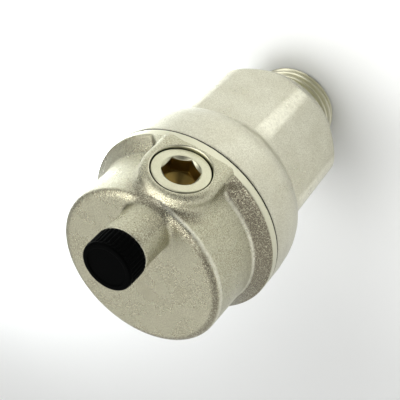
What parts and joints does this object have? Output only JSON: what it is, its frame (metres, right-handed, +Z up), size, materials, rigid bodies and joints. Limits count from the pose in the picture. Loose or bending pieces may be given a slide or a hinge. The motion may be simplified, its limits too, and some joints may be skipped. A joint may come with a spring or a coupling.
{
  "type": "automatic air vent",
  "caption": "Automatic air vent: threaded brass body with a hexagon, round cover with a side plug and a capped vent, and a float that shuts a side nozzle through a lever.",
  "frame": {"origin": "centre of the inlet thread's end face", "axes": "+Z up the body's axis to the vent cap, -Y out of the side plug, +X to the right of someone who faces the side plug"},
  "size_m": [0.044, 0.044, 0.0841],
  "materials": {
    "nickel_plate": "nickel-plated, satin, fine sand-cast grain",
    "brass": "turned",
    "steel": "stamped stainless steel",
    "rubber": "matt",
    "black_plastic": "moulded, ribbed",
    "white_plastic": "moulded"
  },
  "bodies": {
    "housing": {"body": "nickel_plate", "cover": "nickel_plate", "body_seal": "rubber", "side_plug": "nickel_plate", "plug_seal": "rubber", "valve_seat": "brass", "seat_seal": "rubber", "lever_bracket": "steel", "bracket_screw_left": "steel", "bracket_screw_right": "steel", "lever_pin": "steel", "pin_clip": "steel", "lever_spring": "steel"},
    "cap_carrier": {"cap_seal": "rubber"},
    "cap": {"vent_cap": "black_plastic"},
    "float": {"link_rod": "steel", "link_clip": "white_plastic", "float_shell": "white_plastic", "float_lid": "white_plastic"},
    "shutter": {"lever": "steel", "pad_cup": "brass", "shutter_pad": "rubber"}
  },
  "joints": [
    {"name": "float_lift", "type": "slide", "parent": "housing", "child": "float", "axis": [0, 0, 1], "range_m": [0, 0.0026]},
    {"name": "lever_swing", "type": "hinge", "parent": "housing", "child": "shutter", "pos_m": [0, -0.0059, 0.0549], "axis": [1, 0, 0], "range_deg": [0, 18], "deforming": ["lever_spring"]},
    {"name": "cap_lift", "type": "slide", "parent": "housing", "child": "cap_carrier", "axis": [0, 0, 1], "range_m": [0, 0.001]},
    {"name": "cap_turn", "type": "hinge", "parent": "cap_carrier", "child": "cap", "pos_m": [0, -0.0131, 0.0815], "axis": [0, 0, 1], "range_deg": [0, 360]}
  ],
  "couplings": [
    {"joint": "lever_swing", "follows": "float_lift", "rad_per_m": 120.8},
    {"joint": "cap_turn", "follows": "cap_lift", "rad_per_m": 6283.2}
  ]
}
